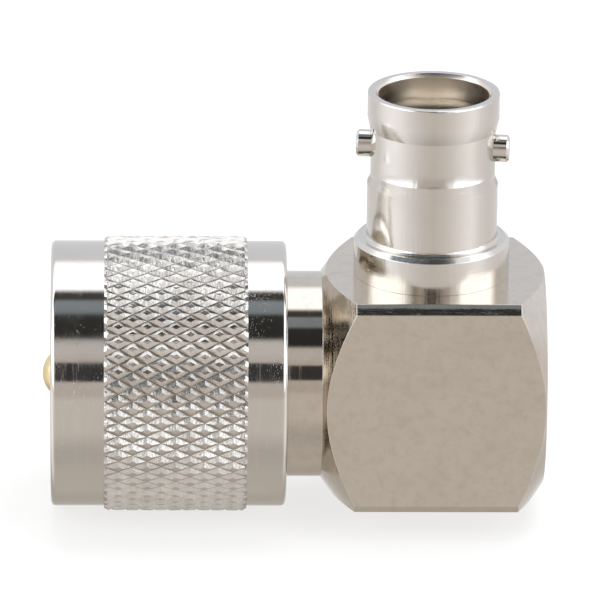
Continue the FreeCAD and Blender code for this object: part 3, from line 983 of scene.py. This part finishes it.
def studio_world():
    """White for the camera, and for the metal a pale room with soft boxes, set by direction.

    across is the angle from straight up towards the camera, right that towards the closed end,
    bearing the compass angle from the camera towards the closed end, and lift the angle above the
    horizon, all in degrees.
    """
    world = bpy.data.worlds.new("studio")
    world.use_nodes = True
    bpy.context.scene.world = world
    make = Nodes(world.node_tree)
    ray = make.add("ShaderNodeTexCoord", None, None, "Generated")
    split = make.add("ShaderNodeSeparateXYZ", None, {0: ray})
    x, y, z = split, split.other("Y"), split.other("Z")
    degrees = 180 / math.pi
    across = (y * -1).maths("ARCTAN2", y * -1, z) * degrees
    right = x.maths("ARCSINE", x) * degrees
    lift = z.maths("ARCSINE", z) * degrees
    bearing = x.maths("ARCTAN2", x, y * -1) * degrees
    turn = bearing.size()

    overhead = make.ramp(across, [
        (-180, 0.6),
        (-100, 0.74),
        (-88, (0.78, 0.82, 0.91)),
        (-60, (0.8, 0.85, 0.94)),
        (-46, (0.83, 0.87, 0.95)),
        (-41, (1.5, 1.55, 1.7)),
        (-38, (1.7, 1.8, 2.0)),
        (-8, (1.7, 1.8, 2.0)),
        (-5, 0.35),
        (-3, 0.06),
        (3, 0.06),
        (5, (0.29, 0.34, 0.4)),
        (16, (0.26, 0.31, 0.37)),
        (19, 0.04),
        (39, 0.03),
        (43, (0.66, 0.65, 0.67)),
        (59, (0.69, 0.68, 0.7)),
        (61, 0.1),
        (76, 0.07),
        (79, (0.6, 0.56, 0.55)),
        (90, (0.62, 0.57, 0.56)),
        (100, 0.7),
        (180, 0.6),
    ])
    veil, soft_box, low_wall = (1.15, 1.2, 1.3), (2.6, 2.9, 3.3), (0.84, 0.82, 0.8)
    far_wall, near_wall, camera = (0.94, 0.98, 1.08), (0.62, 0.59, 0.58), (0.05, 0.05, 0.055)
    left = right * -1
    sides = lift.rise(-3, 8) * (1 - turn.rise(92, 112))
    right_veil = right.rise(18, 25) * (1 - lift.rise(60, 72))
    left_veil = left.rise(24, 32) * (1 - lift.rise(44, 54))
    upper = make.blend((right_veil + left_veil) * sides, overhead, veil)
    boxes = right.size().rise(34, 42) * (1 - lift.rise(50, 62))
    upper = make.blend(boxes * sides, upper, soft_box)
    low_left = left.rise(20, 30) * (1 - lift.rise(0, 4)) * (1 - turn.rise(92, 112))
    upper = make.blend(low_left, upper, low_wall)
    far_side = turn.rise(98, 118) * (1 - lift.rise(30, 50)) * right.size().rise(18, 40)
    upper = make.blend(far_side, upper, far_wall)
    camera_gap = (1 - turn.rise(9, 12)) * lift.rise(11, 14) * (1 - lift.rise(27, 30))
    behind_camera = (1 - turn.rise(20, 30)) * lift.rise(4, 8) * (1 - lift.rise(30, 40))
    upper = make.blend(behind_camera * (1 - camera_gap), upper, near_wall)
    upper = make.blend(camera_gap, upper, camera)

    ground = make.ramp(bearing, [
        (-180, 0.85),
        (-123, (0.84, 0.84, 0.88)),
        (-98, (1.15, 1.18, 1.26)),
        (-78, (1.28, 1.3, 1.4)),
        (-62, (1.16, 1.18, 1.26)),
        (-48, (0.99, 0.99, 1.03)),
        (-34, (0.87, 0.86, 0.89)),
        (-18, (0.76, 0.74, 0.74)),
        (0, (0.7, 0.68, 0.66)),
        (20, (0.77, 0.75, 0.75)),
        (33, (0.86, 0.84, 0.845)),
        (47, (0.98, 0.97, 1.0)),
        (64, (1.12, 1.12, 1.17)),
        (74, (1.15, 1.15, 1.22)),
        (92, (0.93, 0.92, 0.95)),
        (116, (0.83, 0.82, 0.86)),
        (180, 0.85),
    ])
    # Painted shadow: the ground that the metal reflects darkens downwards and behind, for the
    # object's shadow on the floor
    black, painted_shadow_back, painted_shadow_below = (0.0, 0.0, 0.0), (0.52, 0.5, 0.47), (0.6, 0.58, 0.55)
    ground = make.blend(0.22 * (1 - lift.rise(-54, -28)), ground, black)
    ground = make.blend(turn.rise(100, 140) * (1 - lift.rise(-40, -22)), ground, painted_shadow_back)
    ground = make.blend(1 - lift.rise(-80, -58), ground, painted_shadow_below)

    room = make.blend(1 - lift.rise(-5, 1), upper, ground)
    camera_ray = make.add("ShaderNodeLightPath")
    plain = make.blend(camera_ray.other("Is Glossy Ray"), (0.8, 0.8, 0.8), room)
    seen = make.add("ShaderNodeBackground", None, {"Color": (1, 1, 1, 1), "Strength": 1.0})
    lit = make.add("ShaderNodeBackground", None, {"Color": plain, "Strength": 1.0})
    white = camera_ray.most(camera_ray.other("Is Transmission Ray"))
    final = make.add("ShaderNodeMixShader", None, {0: white, 1: lit, 2: seen})
    make.add("ShaderNodeOutputWorld", None, {0: final})


def floor_material(radius):
    """Pale floor that keeps a soft shadow and fades to the white of the background."""
    make = Finish("studio_floor")
    pale, paler = (0.9, 0.9, 0.895), (0.93, 0.93, 0.925)
    fade_start, fade_end = 0.08 * radius / MM, 0.5 * radius / MM
    paper = make.noise(make.place, 0.02, 2.0)
    paint = make.add("ShaderNodeBsdfDiffuse", None, {"Color": make.blend(paper * 0.3, paler, pale)})
    glow = make.add("ShaderNodeEmission", None, {"Color": (1, 1, 1, 1), "Strength": 1.0})
    distance = (make.x * make.x + make.y * make.y).root()
    camera_ray = make.add("ShaderNodeLightPath")
    share = camera_ray * (0.72 + 0.28 * distance.rise(fade_start, fade_end))
    final = make.add("ShaderNodeMixShader", None, {0: share, 1: paint, 2: glow})
    make.add("ShaderNodeOutputMaterial", None, {0: final})
    return make.material


class ADAPTER_OT_studio(bpy.types.Operator):
    """Make the floor, the surroundings, the lamps and the camera"""

    bl_idname = "adapter.studio"
    bl_label = "Studio"

    def execute(self, context):
        settings = context.scene.adapter_studio
        context.scene.view_settings.view_transform = "Standard"
        studio_world()

        mesh = bpy.data.meshes.new("floor")
        work = bmesh.new()
        bmesh.ops.create_circle(
            work, cap_ends=True, segments=96, radius=settings.floor_radius,
            matrix=Matrix.Translation((JACK_X * MM, 0, settings.floor_drop)),
        )
        work.to_mesh(mesh)
        work.free()
        mesh.materials.append(floor_material(settings.floor_radius))
        floor = add_object("floor", mesh)
        floor.visible_glossy = False

        target = Vector((0.012, 0, 0))
        lamps = (
            ("key_lamp", (0.10, 0.12, 0.55), 0.45, 1.0),
            ("fill_lamp", (-0.45, -0.35, 0.35), 0.4, 0.5),
            ("side_lamp", (0.5, -0.25, 0.3), 0.4, 0.4),
        )
        for name, place, size, share in lamps:
            data = bpy.data.lights.new(name, "AREA")
            data.shape = "DISK"
            data.size = size
            data.energy = settings.lamp_power * share
            lamp = bpy.data.objects.new(name, data)
            context.scene.collection.objects.link(lamp)
            lamp.location = place
            aim = target - Vector(place)
            lamp.rotation_euler = aim.to_track_quat("-Z", "Y").to_euler()
            lamp.visible_glossy = False

        self.place_camera(context, settings)
        return {"FINISHED"}

    def place_camera(self, context, settings):
        """Sets the camera so that the crossing of the axes falls on the photograph's pixel."""
        azimuth, elevation, roll = settings.azimuth, settings.elevation, settings.roll
        back = Vector((
            math.sin(azimuth) * math.cos(elevation),
            -math.cos(azimuth) * math.cos(elevation),
            math.sin(elevation),
        ))
        level = Vector((math.cos(azimuth), math.sin(azimuth), 0))
        upright = back.cross(level)
        right = level * math.cos(roll) + upright * math.sin(roll)
        up = upright * math.cos(roll) - level * math.sin(roll)
        scale = settings.distance / settings.focal_pixels
        across = (settings.centre_u - FRAME_PIXELS / 2) * scale
        down = (settings.centre_v - FRAME_PIXELS / 2) * scale
        data = bpy.data.cameras.new("camera")
        data.sensor_width = 36
        data.lens = settings.focal_pixels * data.sensor_width / FRAME_PIXELS
        data.clip_start, data.clip_end = 0.01, 20
        camera = bpy.data.objects.new("camera", data)
        context.scene.collection.objects.link(camera)
        place = Vector((JACK_X * MM, 0, 0)) + back * settings.distance - right * across + up * down
        turn = Matrix((right, up, back)).transposed().to_4x4()
        camera.matrix_world = Matrix.Translation(place) @ turn
        context.scene.camera = camera


OPERATORS = (
    ADAPTER_OT_coupling_nut,
    ADAPTER_OT_square_body,
    ADAPTER_OT_jack,
    ADAPTER_OT_plug_core,
    ADAPTER_OT_studio,
)


class ADAPTER_PT_panel(bpy.types.Panel):
    """Panel in the sidebar of the 3D view"""

    bl_idname = "ADAPTER_PT_panel"
    bl_label = "Right-angle adapter"
    bl_space_type = "VIEW_3D"
    bl_region_type = "UI"
    bl_category = "Adapter"

    def draw(self, context):
        scene = context.scene
        for group in (scene.adapter_nut, scene.adapter_colours, scene.adapter_studio):
            box = self.layout.box()
            for name in group.bl_rna.properties.keys():
                if name not in ("rna_type", "name"):
                    box.prop(group, name)
        for operator in OPERATORS:
            self.layout.operator(operator.bl_idname)


CLASSES = (NutSizes, FinishColours, StudioSettings, *OPERATORS, ADAPTER_PT_panel)


def register():
    for entry in CLASSES:
        bpy.utils.register_class(entry)
    bpy.types.Scene.adapter_nut = PointerProperty(type=NutSizes)
    bpy.types.Scene.adapter_colours = PointerProperty(type=FinishColours)
    bpy.types.Scene.adapter_studio = PointerProperty(type=StudioSettings)


def unregister():
    del bpy.types.Scene.adapter_nut
    del bpy.types.Scene.adapter_colours
    del bpy.types.Scene.adapter_studio
    for entry in reversed(CLASSES):
        bpy.utils.unregister_class(entry)


def main():
    register()
    bpy.ops.adapter.coupling_nut()
    bpy.ops.adapter.square_body()
    bpy.ops.adapter.jack()
    bpy.ops.adapter.plug_core()
    bpy.ops.adapter.studio()


if __name__ == "__main__":
    main()
